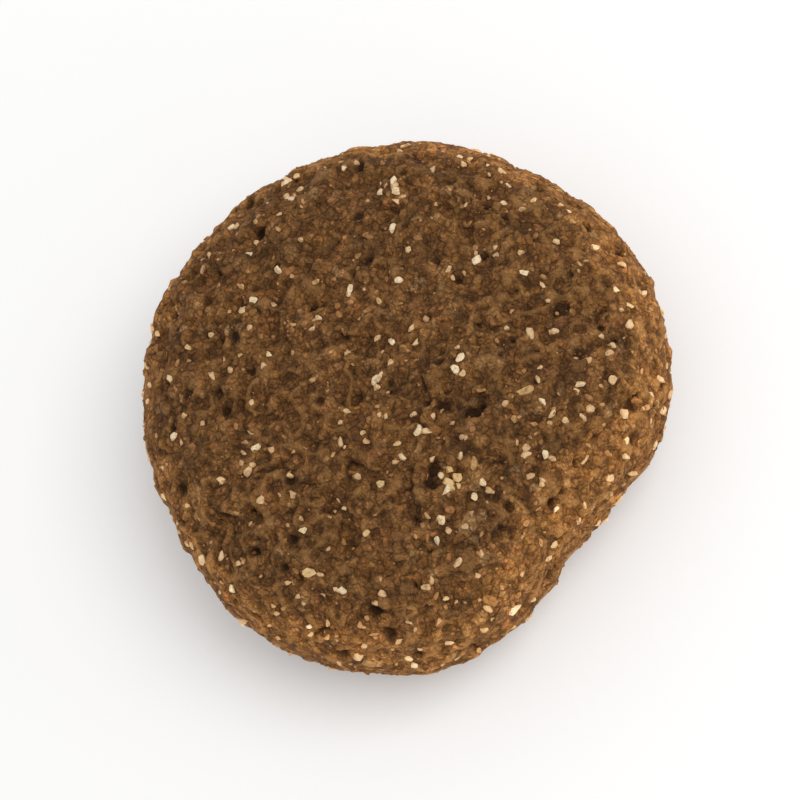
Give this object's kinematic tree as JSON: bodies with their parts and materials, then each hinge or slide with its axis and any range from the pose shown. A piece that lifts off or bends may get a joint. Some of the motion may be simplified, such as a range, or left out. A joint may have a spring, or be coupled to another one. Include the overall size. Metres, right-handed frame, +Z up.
{
  "type": "dry pet food kibble",
  "caption": "Round pillow-shaped piece of baked dry pet food with two cut faces and a bulged granular rim.",
  "frame": {"origin": "centre of the bounding box in X and Y, on the plane of the resting flat in Z", "axes": "+Z up through the thickness, from the lower cut face to the upper one; the squashed side of the outline faces between +X and -Y"},
  "size_m": [0.0132, 0.0134, 0.0051],
  "materials": {
    "baked_crumb": null
  },
  "bodies": {
    "root": {"kibble": "baked_crumb"}
  },
  "joints": []
}
